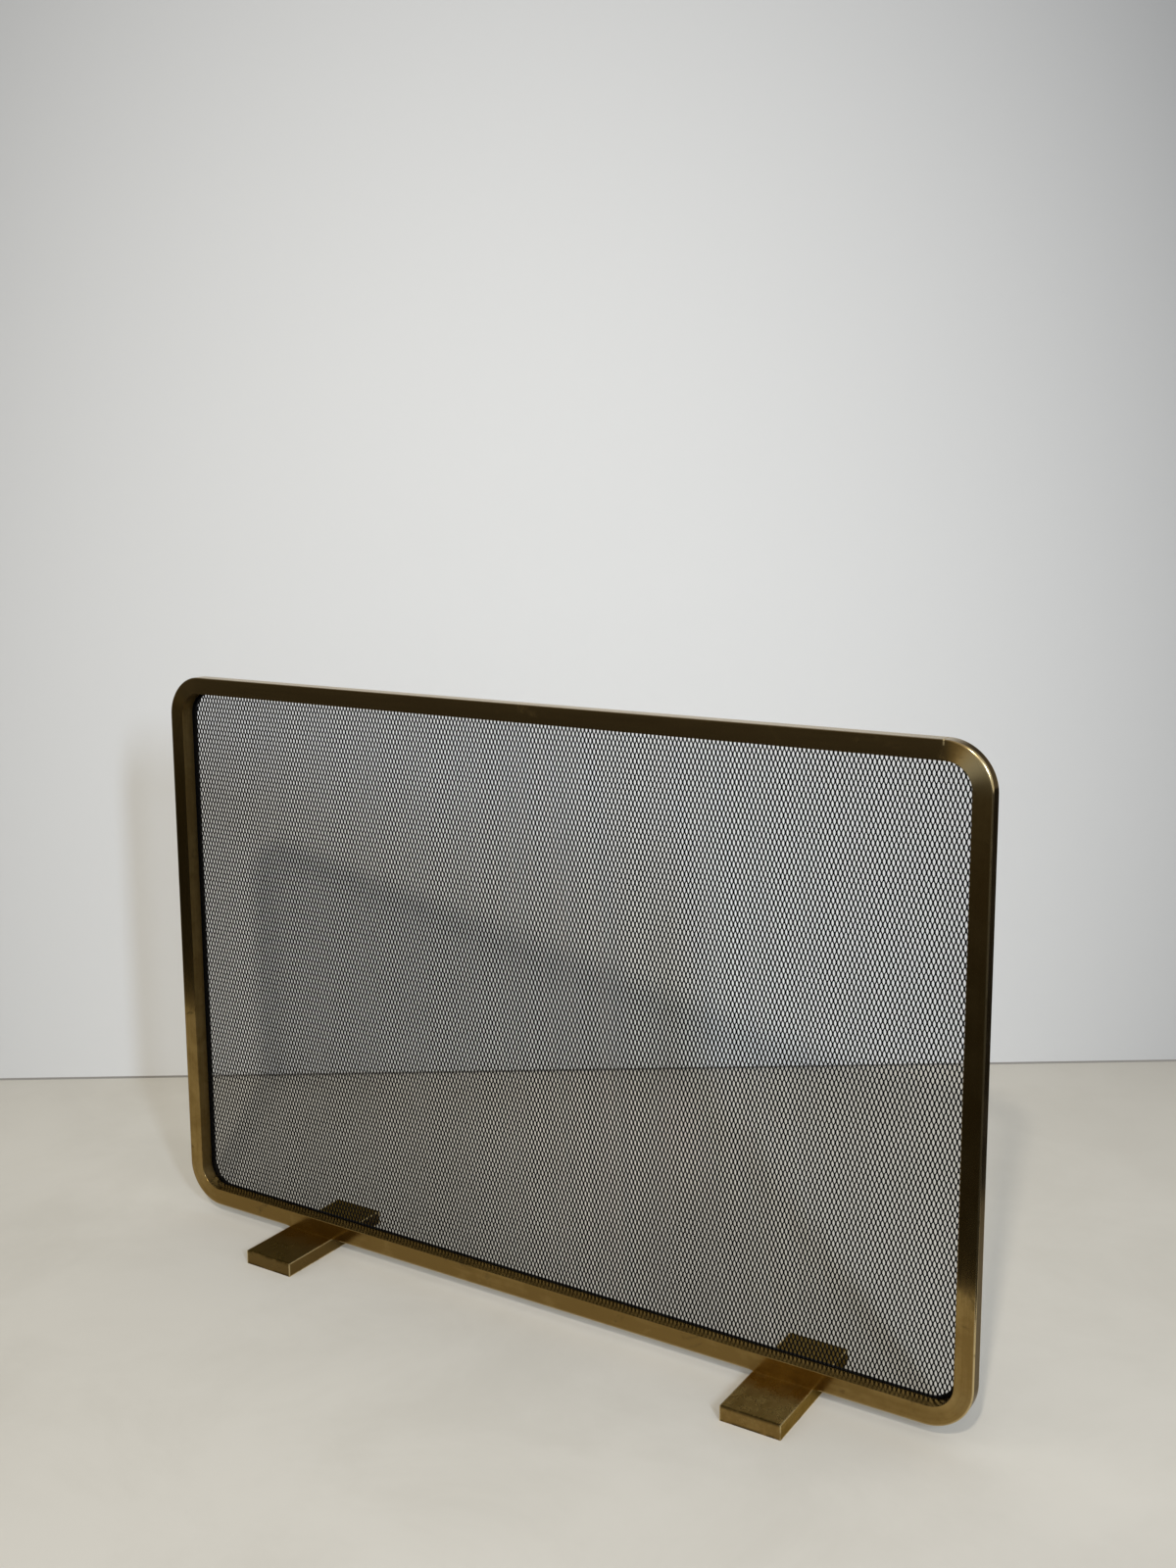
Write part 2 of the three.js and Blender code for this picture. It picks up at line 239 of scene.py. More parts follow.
def bar_section(width, edge, fall):
    """The outline of the bar, from its front outer edge round the outer side to the back and in.

    edge and fall are as in Station. Each edge is an arc, and two points beside it end its wear.
    """
    half, near = BAR_DEPTH / 2, INNER_EDGE_RADIUS
    slope = fall / width
    tilt = math.atan(slope)
    quarter = math.pi / 2
    far = width - edge
    arcs = [
        (far, far * slope + edge / math.cos(tilt) - half, edge, tilt - quarter, 0),
        (far, half - edge, edge, 0, quarter),
        (near, half - near, near, quarter, 2 * quarter),
        (near, near * slope + near / math.cos(tilt) - half, near, 2 * quarter, 3 * quarter + tilt),
    ]
    most_wear = [1.0, 1.0, 0.0, 0.0]
    rounds = []
    for (across, back, radius, start, end), most in zip(arcs, most_wear):
        rounds.append([])
        for k in range(BAR_EDGE_STEPS + 1):
            angle = start + (end - start) * k / BAR_EDGE_STEPS
            ux, uy = math.cos(angle), math.sin(angle)
            wear = most if 0 < k < BAR_EDGE_STEPS else most * FLAT_WEAR
            rounds[-1].append(SectionPoint(across + radius * ux, back + radius * uy, ux, uy, wear))
    points = []
    for here, there in zip(rounds, rounds[1:] + rounds[:1]):
        last, first = here[-1], there[0]
        gap = Vector((first.across - last.across, first.back - last.back))
        reach = gap.normalized() * WEAR_REACH
        points += here
        points.append(last._replace(across=last.across + reach.x, back=last.back + reach.y, wear=0.0))
        points.append(last._replace(across=first.across - reach.x, back=first.back - reach.y, wear=0.0))
    return points


def sweep(name, stations, material):
    """A bar with a rounded section through the stations, closed and slightly chamfered at both ends."""
    back = Vector((0, 1, 0))
    sections = [bar_section(s.width, s.edge, s.fall) for s in stations]
    count = len(sections[0])
    around = [sections[0][0].across]
    for here, there in zip(sections[0], sections[0][1:] + sections[0][:1]):
        around.append(around[-1] + abs(there.across - here.across) + abs(there.back - here.back))
    first_step = stations[1].place - stations[0].place
    forwards = stations[0].outward.cross(back).dot(first_step) > 0

    def ring(number, shrink=0.0, shift=Vector()):
        station = stations[number]
        places, normals = [], []
        for p in sections[number]:
            side = station.outward if p.across > station.width / 2 else -station.inward
            normal = side * p.normal_across + back * p.normal_back
            place = station.place + station.outward * p.across + back * p.back
            places.append(place - normal * shrink + shift)
            normals.append(normal)
        return places, normals

    ends = []
    for station, other in ((stations[0], stations[1]), (stations[-1], stations[-2])):
        ends.append(station.outward.cross(back))
        if (other.place - station.place).dot(ends[-1]) > 0:
            ends[-1] = -ends[-1]
    last = len(stations) - 1
    numbers = [0, *range(len(stations)), last]
    rings = [ring(0, SEAM), ring(0, 0.0, -ends[0] * SEAM)]
    rings += [ring(k) for k in range(1, last)]
    rings += [ring(last, 0.0, -ends[1] * SEAM), ring(last, SEAM)]

    verts = [v for places, _ in rings for v in places]
    faces, normals, uvs = [], [], []
    for k in range(len(rings) - 1):
        for i in range(count):
            j = (i + 1) % count
            corners = [(k, i, i), (k, j, i + 1), (k + 1, j, i + 1), (k + 1, i, i)]
            if not forwards:
                corners.reverse()
            faces.append([r * count + c for r, c, _ in corners])
            for r, c, place in corners:
                normals.append(rings[r][1][c])
                uvs.append((stations[numbers[r]].run, around[place]))
    for first, end in ((0, ends[0]), ((len(rings) - 1) * count, ends[1])):
        cap = [first + i for i in range(count)]
        if (first == 0) == forwards:
            cap.reverse()
        faces.append(cap)
        normals += [end] * count
        uvs += [(0.0, 0.0)] * count

    mesh = bpy.data.meshes.new(name)
    mesh.from_pydata(verts, [], faces)
    mesh.polygons.foreach_set("use_smooth", np.ones(len(faces), bool))
    layer = mesh.uv_layers.new(name="run")
    layer.uv.foreach_set("vector", np.asarray(uvs, np.float32).ravel())
    add_finish(mesh, [(stations[n], p) for n in numbers for p in sections[n]])
    mesh.normals_split_custom_set(normals)
    return new_object(name, mesh, material)


def add_finish(mesh, pairs):
    """What the brass needs to know of each vertex, which is a point of the section at a station.

    tone and wear are as in Station. The others are from 0 to 1: inner on the faces round the opening,
    ledge on those of them that face up, and top and side on the outer faces that face up and sideways,
    which carry the painted sheen and the painted shade.
    Round a bend, top fades soon and side comes up soon.
    """
    marks = {name: [] for name in ("wear", "tone", "inner", "ledge", "top", "side")}
    for station, point in pairs:
        inner = max(0.0, -point.normal_across) ** 2
        outer = max(0.0, point.normal_across) ** 4
        marks["wear"].append(point.wear * station.wear)
        marks["tone"].append(station.tone)
        marks["inner"].append(inner)
        marks["ledge"].append(inner * max(0.0, -station.outward.z))
        marks["top"].append(outer * max(0.0, station.outward.z) ** 16)
        marks["side"].append(outer * min(1.0, 5 * station.outward.x**2))
    for name, values in marks.items():
        attribute = mesh.attributes.new(name, "FLOAT", "POINT")
        attribute.data.foreach_set("value", np.asarray(values, np.float32))


# ---- The brass frame ----


def dressed(distance):
    """How much of a bend's dressing is left at a distance along the bar from the bend's middle."""
    near = max(0.0, 1 - distance / DRESSED_REACH)
    return near * near * (3 - 2 * near)


def blended(table, shares):
    return sum(table[name] * share for name, share in shares.items())


def finish_at(bars, bends):
    """The edge, fall, tone and wear of a station, from the shares that bars and bends have in it."""
    edge = blended(BAR_EDGE, bars) + blended(BEND_EDGE, bends)
    tone = blended(BAR_TONE, bars) + blended(BEND_TONE, bends)
    return edge, blended(BEND_FALL, bends), tone, blended(BAR_WEAR, bars)


def straight_bar(node, side, corners, start, material):
    """The bar that stands for a rail or a stile, clockwise between its two corners.

    side is the way out of the screen, in its plane. start is the run at the bar's first end.
    """
    low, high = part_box(node)
    along = Vector((side.z, 0, -side.x))
    centre, half = (low + high) / 2, (high - low) / 2
    reach = abs(half.dot(along))
    inner = centre - side * BAR_FACE / 2

    runs = set()
    for k in range(DRESSED_STEPS + 1):
        step = (DRESSED_REACH - HALF_BEND) * k / DRESSED_STEPS
        runs |= {step - reach, reach - step}
    foot_edges = []
    if node == "bottom_rail":
        for foot in ("foot_left", "foot_right"):
            foot_low, foot_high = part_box(foot)
            foot_edges.append((centre.x - foot_high.x, centre.x - foot_low.x))
            runs |= {foot_edges[-1][0] - FOOT_JOINT_RUNOUT, foot_edges[-1][1] + FOOT_JOINT_RUNOUT}
            runs |= set(foot_edges[-1])

    stations = []
    for run in sorted(runs):
        bends = {corner: dressed(reach + HALF_BEND + way * run) for corner, way in zip(corners, (1, -1))}
        edge, *rest = finish_at({node: 1}, bends)
        if any(first <= run <= last for first, last in foot_edges):
            edge = FOOT_JOINT_EDGE_RADIUS
        place = inner + along * run
        stations.append(Station(place, side, -side, BAR_FACE, start + reach + run, edge, *rest))
    finish_bar(sweep(f"{node}_bar", stations, material), node)
    return start + 2 * reach


def corner_bend(corner, sides, bars, start, material):
    """The bend that stands for a corner, clockwise from one bar to the next.

    sides are the ways out of the screen at the two bars. start is the run at the bend's first end.
    """
    node = f"corner_{corner}"
    low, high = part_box(node)
    centre, half = (low + high) / 2, (high - low) / 2
    leg = 2 * half.x
    centre -= (sides[0] + sides[1]) * (leg / 2 - (leg - CORNER_OUTER_RADIUS))
    inner_centre = leg - BAR_FACE - CORNER_INNER_RADIUS
    stations = []
    for k in range(BEND_STEPS + 1):
        angle = math.pi / 2 * k / BEND_STEPS
        cos, sin = math.cos(angle), math.sin(angle)
        outward = sides[0] * cos + sides[1] * sin
        straight = leg - BAR_FACE
        if sin * straight < cos * inner_centre:
            reach, inward = straight / cos, -sides[0]
        elif cos * straight < sin * inner_centre:
            reach, inward = straight / sin, -sides[1]
        else:
            both = inner_centre * (cos + sin)
            reach = both + math.sqrt(both**2 - 2 * inner_centre**2 + CORNER_INNER_RADIUS**2)
            inward = (sides[0] + sides[1]) * inner_centre - outward * reach
            inward.normalize()
        run = 2 * HALF_BEND * k / BEND_STEPS
        width = CORNER_OUTER_RADIUS - reach
        place = centre + outward * reach
        finish = finish_at({bars[0]: cos**2, bars[1]: sin**2}, {corner: dressed(abs(run - HALF_BEND))})
        stations.append(Station(place, outward, inward, width, start + run, *finish))
    finish_bar(sweep(f"{node}_bend", stations, material), node)
    return start + 2 * HALF_BEND


def finish_bar(bar, node):
    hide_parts(node)
    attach(bar, "root")


def build_frame(material):
    """The bars and bends in turn, clockwise from the left stile. The brushing goes on through them."""
    right, up = Vector((1, 0, 0)), Vector((0, 0, 1))
    sides = [-right, up, right, -up]
    bars = ["left_stile", "top_rail", "right_stile", "bottom_rail"]
    corners = ["top_left", "top_right", "bottom_right", "bottom_left"]
    run = 0.0
    for k in range(4):
        after = (k + 1) % 4
        run = straight_bar(bars[k], sides[k], (corners[k - 1], corners[k]), run, material)
        run = corner_bend(corners[k], (sides[k], sides[after]), (bars[k], bars[after]), run, material)


# ---- The expanded metal ----


def in_round_rectangle(x, z, half_x, half_z, radius):
    past_x = np.maximum(np.abs(x) - (half_x - radius), 0)
    past_z = np.maximum(np.abs(z) - (half_z - radius), 0)
    inside = (np.abs(x) <= half_x) & (np.abs(z) <= half_z)
    return inside & (np.hypot(past_x, past_z) <= radius)


def build_mesh(material):
    """Staggered columns of eight-sided openings, stamped and drawn out of one sheet, then rolled."""
    low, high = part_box("mesh_panel")
    centre, half = (low + high) / 2, (high - low) / 2
    quarter = [OPENING_TOP, OPENING_SIDE]
    outline = quarter + [(x, -z) for x, z in reversed(quarter)]
    outline = np.array(outline + [(-x, z) for x, z in reversed(outline)])
    sides = len(outline)
    top_right, right_top, right_low, low_right, low_left, left_low, left_top, top_left = range(sides)

    columns = 2 * int(half.x / MESH_ACROSS) + 1
    rows = int(half.z / MESH_UP) + 1
    column = np.arange(-columns, columns + 1)
    row = np.arange(-rows, rows + 1)
    i, j = [grid.ravel() for grid in np.meshgrid(column, row, indexing="ij")]
    x = i * MESH_ACROSS / 2
    z = (j + (i % 2) / 2) * MESH_UP
    radius = CORNER_OUTER_RADIUS - (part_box("corner_top_right")[1].x - high.x)
    kept = in_round_rectangle(
        x, z, half.x - MESH_ACROSS / 2, half.z - MESH_UP / 2, radius - MESH_ACROSS / 2
    )
    i, j, x, z = i[kept], j[kept], x[kept], z[kept]
    cell = {key: n for n, key in enumerate(zip(i.tolist(), j.tolist()))}

    # Each opening has its corners in front and then the same corners behind.
    flat = np.stack([x, z], 1)[:, None, :] + outline[None]
    verts = np.empty((len(x), 2 * sides, 3))
    verts[:, :sides, 0] = verts[:, sides:, 0] = flat[..., 0] + centre.x
    verts[:, :sides, 2] = verts[:, sides:, 2] = flat[..., 1] + centre.z
    verts[:, :sides, 1] = centre.y - STRAND_THICKNESS / 2
    verts[:, sides:, 1] = centre.y + STRAND_THICKNESS / 2
    verts = verts.reshape(-1, 3)

    bands = [[] for _ in range(MESH_PIECES)]
    for n, (column_index, row_index) in enumerate(zip(i.tolist(), j.tolist())):
        step = column_index % 2
        upper_right = cell.get((column_index + 1, row_index + step))
        upper_left = cell.get((column_index - 1, row_index + step))
        above = cell.get((column_index, row_index + 1))
        band = bands[min(MESH_PIECES - 1, (column_index + columns) * MESH_PIECES // (2 * columns + 1))]
        here = 2 * sides * n
        if upper_right is not None:
            right = 2 * sides * upper_right
            band += [
                (here + top_right, here + right_top, right + low_left),
                (here + top_right, right + low_left, right + left_low),
            ]
        if upper_left is not None:
            left = 2 * sides * upper_left
            band += [
                (here + top_left, left + right_low, left + low_right),
                (here + top_left, left + low_right, here + left_top),
            ]
        if None not in (upper_right, upper_left, above):
            over = 2 * sides * above
            bond = [
                here + top_right,
                right + left_low,
                right + left_top,
                over + low_right,
                over + low_left,
                left + right_top,
                left + right_low,
                here + top_left,
            ]
            band += [(bond[0], bond[k], bond[k + 1]) for k in range(1, sides - 1)]

    for number, band in enumerate(bands, 1):
        front = np.array(band)
        back = front[:, ::-1] + sides
        edges = np.concatenate([front[:, [0, 1]], front[:, [1, 2]], front[:, [2, 0]]])
        key = edges[:, 0] * len(verts) + edges[:, 1]
        reverse = edges[:, 1] * len(verts) + edges[:, 0]
        a, b = edges[~np.isin(key, reverse)].T
        walls = np.concatenate([np.stack([b, a, a + sides], 1), np.stack([b, a + sides, b + sides], 1)])
        faces = np.concatenate([front, back, walls])
        used, faces = np.unique(faces, return_inverse=True)
        mesh = bpy.data.meshes.new(f"mesh_band_{number}")
        mesh.from_pydata(verts[used].tolist(), [], faces.reshape(-1, 3).tolist())
        piece = new_object(f"mesh_band_{number}", mesh, material)
        if number == 1:
            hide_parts("mesh_panel")
        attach(piece, "root")


# ---- Strips, screws and feet ----


def softened(node, width, material):
    """A CAD node kept as it is, with its edges rounded off."""
    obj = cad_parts[node]
    obj.data.materials.clear()
    obj.data.materials.append(material)
    bevel = obj.modifiers.new("soft_edges", "BEVEL")
    bevel.width = width
    bevel.segments = SOFT_EDGE_SEGMENTS
    bevel.limit_method = "ANGLE"
    bevel.angle_limit = math.radians(40)


def screw_mesh(name, rings):
    """A closed turned body. A ring is (radius, height, six_sided), from the point's end to the socket."""
    angles = [2 * math.pi * k / SCREW_SIDES for k in range(SCREW_SIDES)]
    verts = []
    for radius, height, six_sided in rings:
        for angle in angles:
            off_flat = angle % (math.pi / 3) - math.pi / 6
            reach = radius / math.cos(off_flat) if six_sided else radius
            verts.append((reach * math.cos(angle), reach * math.sin(angle), height))
    faces = [list(reversed(range(SCREW_SIDES)))]
    for ring in range(len(rings) - 1):
        for k in range(SCREW_SIDES):
            here, there = ring * SCREW_SIDES, (ring + 1) * SCREW_SIDES
            after = (k + 1) % SCREW_SIDES
            faces.append([here + k, here + after, there + after, there + k])
    last = (len(rings) - 1) * SCREW_SIDES
    faces.append([last + k for k in range(SCREW_SIDES)])
    mesh = bpy.data.meshes.new(name)
    mesh.from_pydata(verts, [], faces)
    mesh.polygons.foreach_set("use_smooth", np.ones(len(faces), bool))
    mesh.set_sharp_from_angle(angle=math.radians(35))
    return mesh


def strip_screw_mesh(node):
    """A button head with a six-sided socket. Its origin is under the head, which points along +Z."""
    low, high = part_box(node)
    head = (high.x - low.x) / 2
    shaft = STRIP_SCREW_RADIUS
    length = high.y - low.y - STRIP_SCREW_HEAD_HEIGHT
    chamfer = shaft * 0.3
    rings = [
        (shaft - chamfer, -length, False),
        (shaft, -length + chamfer, False),
        (shaft, 0, False),
        (head - STRIP_SCREW_HEAD_RIM / 3, 0, False),
        (head, STRIP_SCREW_HEAD_RIM / 3, False),
        (head, STRIP_SCREW_HEAD_RIM, False),
    ]
    socket = STRIP_SCREW_SOCKET
    dome = STRIP_SCREW_HEAD_HEIGHT - STRIP_SCREW_HEAD_RIM
    top_angle = math.acos(socket * SOCKET_MARGIN / head)
    for k in range(1, DOME_STEPS + 1):
        angle = top_angle * k / DOME_STEPS
        rise = dome * math.sin(angle) / math.sin(top_angle)
        rings.append((head * math.cos(angle), STRIP_SCREW_HEAD_RIM + rise, False))
    rings += [
        (socket, STRIP_SCREW_HEAD_HEIGHT, True),
        (socket * 0.97, STRIP_SCREW_HEAD_HEIGHT - SOCKET_DEPTH, True),
        (socket * 0.2, STRIP_SCREW_HEAD_HEIGHT - SOCKET_DEPTH * 1.2, True),
    ]
    return screw_mesh("strip_screw", rings)


def foot_screw_mesh(node):
    """A flat countersunk head with a six-sided socket. Its origin is on the head's face, along +Z."""
    low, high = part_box(node)
    head = (high.x - low.x) / 2
    length = high.z - low.z
    shaft = FOOT_SCREW_RADIUS
    socket = FOOT_SCREW_SOCKET
    chamfer = shaft * 0.2
    rings = [
        (shaft - chamfer, -length, False),
        (shaft, -length + chamfer, False),
        (shaft, -FOOT_SCREW_HEAD_RIM - head + shaft, False),
        (head, -FOOT_SCREW_HEAD_RIM, False),
        (head, -FOOT_SCREW_HEAD_RIM / 3, False),
        (head - FOOT_SCREW_HEAD_RIM / 3, 0, False),
        (socket * SOCKET_MARGIN, 0, False),
        (socket, 0, True),
        (socket * 0.97, -2 * SOCKET_DEPTH, True),
        (socket * 0.2, -2.3 * SOCKET_DEPTH, True),
    ]
    return screw_mesh("foot_screw", rings)


def place_screw(mesh, node, where, turn):
    screw = bpy.data.objects.new(node.replace("retainer", "strip") + "_turned", mesh)
    bpy.context.scene.collection.objects.link(screw)
    screw.location = where
    screw.rotation_euler = turn
    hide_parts(node)
    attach(screw, "root")


def build_screws(steel, brass_metal):
    strip_mesh = strip_screw_mesh("retainer_screw_top_1")
    strip_mesh.materials.append(steel)
    foot_mesh = foot_screw_mesh("foot_screw_left_1")
    foot_mesh.materials.append(brass_metal)
    for number, node in enumerate(sorted(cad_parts)):
        if node.startswith("retainer_screw"):
            low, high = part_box(node)
            where = ((low.x + high.x) / 2, high.y - STRIP_SCREW_HEAD_HEIGHT, (low.z + high.z) / 2)
            turn = (-math.pi / 2, number * SCREW_TURN, 0)
            place_screw(strip_mesh, node, where, turn)
        elif node.startswith("foot_screw"):
            low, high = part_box(node)
            where = ((low.x + high.x) / 2, (low.y + high.y) / 2, low.z)
            place_screw(foot_mesh, node, where, (math.pi, 0, number * SCREW_TURN))


# ---- Materials ----


class Graph:
    """A material and short ways to add nodes to it."""

    def __init__(self, name, **values):
        self.material = bpy.data.materials.new(name)
        self.material.use_nodes = True
        self.tree = self.material.node_tree
        self.shader = self.tree.nodes["Principled BSDF"]
        for socket, value in values.items():
            self.shader.inputs[socket.replace("_", " ")].default_value = value

    def node(self, kind, inputs, **settings):
        made = self.tree.nodes.new(kind)
        for key, value in settings.items():
            setattr(made, key, value)
        for key, value in inputs.items():
            if isinstance(value, bpy.types.NodeSocket):
                self.tree.links.new(value, made.inputs[key])
            elif value is not None:
                made.inputs[key].default_value = value
        return made

    def finish(self, **links):
        for socket, value in links.items():
            self.tree.links.new(value, self.shader.inputs[socket.replace("_", " ")])
        return self.material

    def place(self):
        return self.node("ShaderNodeTexCoord", {}).outputs["Object"]

    def scaled(self, vector, scale, shift=(0, 0, 0)):
        inputs = {"Vector": vector, "Scale": scale, "Location": shift}
        return self.node("ShaderNodeMapping", inputs).outputs["Vector"]

    def noise(self, vector, scale, detail=2.0, roughness=0.5, distortion=0.0):
        inputs = {
            "Vector": vector,
            "Scale": scale,
            "Detail": detail,
            "Roughness": roughness,
            "Distortion": distortion,
        }
        return self.node("ShaderNodeTexNoise", inputs).outputs["Fac"]

    def spread(self, value, low, high, to_low=0.0, to_high=1.0):
        """Runs smoothly from to_low, where value is low, to to_high, where value is high."""
        inputs = {"Value": value, "From Min": low, "From Max": high, "To Min": to_low, "To Max": to_high}
        return self.node("ShaderNodeMapRange", inputs, interpolation_type="SMOOTHSTEP").outputs["Result"]

    def math(self, operation, a, b=0.0, clamp=False):
        made = self.node("ShaderNodeMath", {0: a, 1: b}, operation=operation, use_clamp=clamp)
        return made.outputs["Value"]

    def weighted(self, *terms, base=0.0):
        """The base and each value times its weight, added up."""
        total = base
        for value, weight in terms:
            inputs = {0: value, 1: weight, 2: total}
            total = self.node("ShaderNodeMath", inputs, operation="MULTIPLY_ADD").outputs["Value"]
        return total

    def mix(self, factor, a, b):
        made = self.node("ShaderNodeMix", {0: factor}, data_type="RGBA")
        for slot, value in ((6, a), (7, b)):
            if isinstance(value, bpy.types.NodeSocket):
                self.tree.links.new(value, made.inputs[slot])
            else:
                made.inputs[slot].default_value = (*value, 1)
        return made.outputs[2]

    def attribute(self, name):
        return self.node("ShaderNodeAttribute", {}, attribute_name=name).outputs["Fac"]

    def bump(self, height, strength, distance, normal=None):
        inputs = {"Height": height, "Strength": strength, "Distance": distance, "Normal": normal}
        return self.node("ShaderNodeBump", inputs).outputs["Normal"]


def patina(graph, place, brush, wear, dull, tone, covers):
    """Aged brass: clouds of brown over gold, stains, fine brushing and paler, worn edges. Through the tone,
    the wear and the covers it also carries painted shade, sheen and highlight.

    brush is a coordinate along the brushing, then across it. wear and dull are from 0 to 1, and tone is
    as for the bars. covers are pairs of an amount and the colour that lies over the brass there.
    """
    clouds = graph.noise(place, 22, 4, 0.55, 0.6)
    fine = graph.noise(place, 140, 3, 0.6)
    streaks = graph.noise(graph.scaled(brush, (9, 260, 260)), 1, 3, 0.6)
    hairs = graph.noise(graph.scaled(brush, (30, 2200, 2200)), 1, 2, 0.5)
    age = graph.spread(graph.weighted((clouds, 0.65), (fine, 0.2), (streaks, 0.25)), 0.42, 0.70)
    # A low tone makes the brass browner and stains it all over, a high one paler; for some bars and bends
    # this is painted shade and painted highlight
    age = graph.math("SUBTRACT", age, tone, clamp=True)
    colour = graph.mix(age, BRASS_BRIGHT, BRASS_AGED)
    colour = graph.mix(graph.math("MULTIPLY", tone, 0.8, clamp=True), colour, BRASS_PALE_AND_SHEEN)
    spots = graph.noise(graph.scaled(place, (1, 1, 1), (3.1, 0, 0)), 48, 3, 0.65, 0.8)
    stains = graph.spread(spots, 0.60, 0.74)
    all_over = graph.spread(tone, -1.4, -0.6, 1.0, 0.0)
    stained = graph.math("MAXIMUM", graph.math("MULTIPLY", stains, 0.55), all_over)
    colour = graph.mix(stained, colour, BRASS_STAIN)
    for amount, over in covers:
        colour = graph.mix(amount, colour, over)
    # Worn edges turn pale; where the wear is high this also paints bright edge highlights
    rubbed = graph.math("MULTIPLY", wear, graph.spread(fine, 0.15, 0.45))
    colour = graph.mix(graph.math("MULTIPLY", rubbed, 0.85), colour, BRASS_WORN_AND_HIGHLIGHT)
    pale = graph.math("MAXIMUM", tone, 0.0)
    terms = [(age, 0.08), (streaks, 0.08), (stains, 0.10), (dull, 0.30), (pale, 0.14)]
    rough = graph.weighted(*terms, base=0.07)
    waves = graph.bump(graph.noise(place, 28, 1, 0.5), 0.12, 0.4 * MM)
    normal = graph.bump(hairs, 0.12, 0.02 * MM, waves)
    return graph.finish(Base_Color=colour, Roughness=rough, Normal=normal)


def frame_brass_material():
    """The brushing runs along each bar and round each bend.

    The inner faces are darkened, more so high up and on the ledge. The top has a painted pale sheen, and
    the sides painted dark shade that is lighter low down, where it paints a reflection of the pale floor.
    """
    brushed = {"Metallic": 1.0, "Anisotropic": 0.6, "Anisotropic_Rotation": 0.25}
    graph = Graph("frame_brass", Specular_Tint=(0.62, 0.56, 0.48, 1), **brushed)
    run = graph.node("ShaderNodeUVMap", {}, uv_map="run").outputs["UV"]
    tangent = graph.node("ShaderNodeTangent", {}, direction_type="UV_MAP", uv_map="run")
    graph.tree.links.new(tangent.outputs["Tangent"], graph.shader.inputs["Tangent"])
    names = ("wear", "tone", "inner", "ledge", "top", "side")
    wear, tone, inner, ledge, top, side = [graph.attribute(name) for name in names]
    place = graph.place()
    parts = graph.node("ShaderNodeSeparateXYZ", {"Vector": place}).outputs
    # The inner faces are darkened, more so high up, and the ledge more still
    inner_darkening_by_height = graph.math("MULTIPLY", inner, graph.spread(parts["Z"], 0.1, 0.35, 0.05, 0.35))
    inner_darkening = graph.weighted((ledge, 0.4), base=inner_darkening_by_height)
    dull = graph.weighted((ledge, -0.8), base=inner)
    # Painted shade on the outer sides, lighter low down, where it paints a reflection of the pale floor
    side_painted_shade = graph.mix(graph.spread(parts["Z"], 0.1, 0.2), BRASS_SIDE_LOW_PAINTED_REFLECTION, BRASS_SIDE_PAINTED_SHADE)

    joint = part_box("corner_top_right")[0].x
    off_joint = graph.math("ABSOLUTE", graph.math("SUBTRACT", parts["X"], joint))
    nick = graph.spread(off_joint, NICK_HALF_WIDTH - NICK_BLUR, NICK_HALF_WIDTH + NICK_BLUR, 0.9, 0.0)
    nick_end = rail_high.z - NICK_LENGTH
    near_top = graph.spread(parts["Z"], nick_end - NICK_END_BLUR, nick_end + NICK_END_BLUR)
    nick = graph.math("MULTIPLY", nick, near_top)
    # Over the brass: the inner darkening, a painted sheen on the tops, painted shade on the sides and the
    # braze mark
    covers = [(inner_darkening, BRASS_SOOT_AND_SHADE), (top, BRASS_TOP_PAINTED_SHEEN), (side, side_painted_shade), (nick, BRASS_WORN_AND_HIGHLIGHT)]
    return patina(graph, place, run, wear, dull, tone, covers)


def box_gaps(graph, place, low, high):
    """How far a place on a box, or on its mirror image across X, is from the box's sides, each way."""
    parts = graph.node("ShaderNodeSeparateXYZ", {"Vector": place}).outputs
    gaps = []
    for axis in range(3):
        value = graph.math("ABSOLUTE", parts[axis]) if axis == 0 else parts[axis]
        offset = graph.math("ABSOLUTE", graph.math("SUBTRACT", value, abs(low[axis] + high[axis]) / 2))
        gaps.append(graph.math("SUBTRACT", (high[axis] - low[axis]) / 2, offset))
    return gaps


